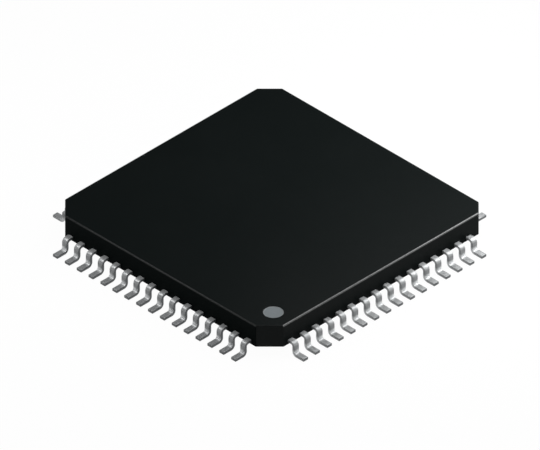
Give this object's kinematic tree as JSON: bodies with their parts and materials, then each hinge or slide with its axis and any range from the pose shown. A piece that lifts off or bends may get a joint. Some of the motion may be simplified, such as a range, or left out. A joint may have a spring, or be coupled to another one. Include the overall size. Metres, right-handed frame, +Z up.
{
  "type": "quad flat pack chip",
  "caption": "Thin square moulded chip package with gull-wing leads on every side, for soldering flat onto a circuit board.",
  "frame": {"origin": "middle of the seating plane, where the feet rest, under the middle of the body", "axes": "+Z up out of the marked face; the pin-one corner is at -X -Y; lead 1 is the -X end of the -Y side"},
  "size_m": [0.0138, 0.0138, 0.0014],
  "materials": {
    "mould_compound": "fine matt moulded",
    "mark_paint": "flat paint",
    "plated_leads": "matt tin plate on copper alloy strip",
    "die_adhesive": "cured silver-filled adhesive",
    "silicon": "polished",
    "bond_wire": "drawn"
  },
  "bodies": {
    "root": {"bond_wires_01_04": "bond_wire", "bond_wires_05_08": "bond_wire", "bond_wires_09_12": "bond_wire", "bond_wires_13_16": "bond_wire", "bond_wires_17_20": "bond_wire", "bond_wires_21_24": "bond_wire", "bond_wires_25_28": "bond_wire", "bond_wires_29_32": "bond_wire", "bond_wires_33_36": "bond_wire", "bond_wires_37_40": "bond_wire", "bond_wires_41_44": "bond_wire", "bond_wires_45_48": "bond_wire", "bond_wires_49_52": "bond_wire", "bond_wires_53_56": "bond_wire", "bond_wires_57_60": "bond_wire", "bond_wires_61_64": "bond_wire", "die_attach": "die_adhesive", "die_pad": "plated_leads", "leads_01_02": "plated_leads", "leads_03_04": "plated_leads", "leads_05_06": "plated_leads", "leads_07_08": "plated_leads", "leads_09_10": "plated_leads", "leads_11_12": "plated_leads", "leads_13_14": "plated_leads", "leads_15_16": "plated_leads", "leads_17_18": "plated_leads", "leads_19_20": "plated_leads", "leads_21_22": "plated_leads", "leads_23_24": "plated_leads", "leads_25_26": "plated_leads", "leads_27_28": "plated_leads", "leads_29_30": "plated_leads", "leads_31_32": "plated_leads", "leads_33_34": "plated_leads", "leads_35_36": "plated_leads", "leads_37_38": "plated_leads", "leads_39_40": "plated_leads", "leads_41_42": "plated_leads", "leads_43_44": "plated_leads", "leads_45_46": "plated_leads", "leads_47_48": "plated_leads", "leads_49_50": "plated_leads", "leads_51_52": "plated_leads", "leads_53_54": "plated_leads", "leads_55_56": "plated_leads", "leads_57_58": "plated_leads", "leads_59_60": "plated_leads", "leads_61_62": "plated_leads", "leads_63_64": "plated_leads", "mould_body": "mould_compound", "pin_one_mark": "mark_paint", "silicon_die": "silicon"}
  },
  "joints": []
}
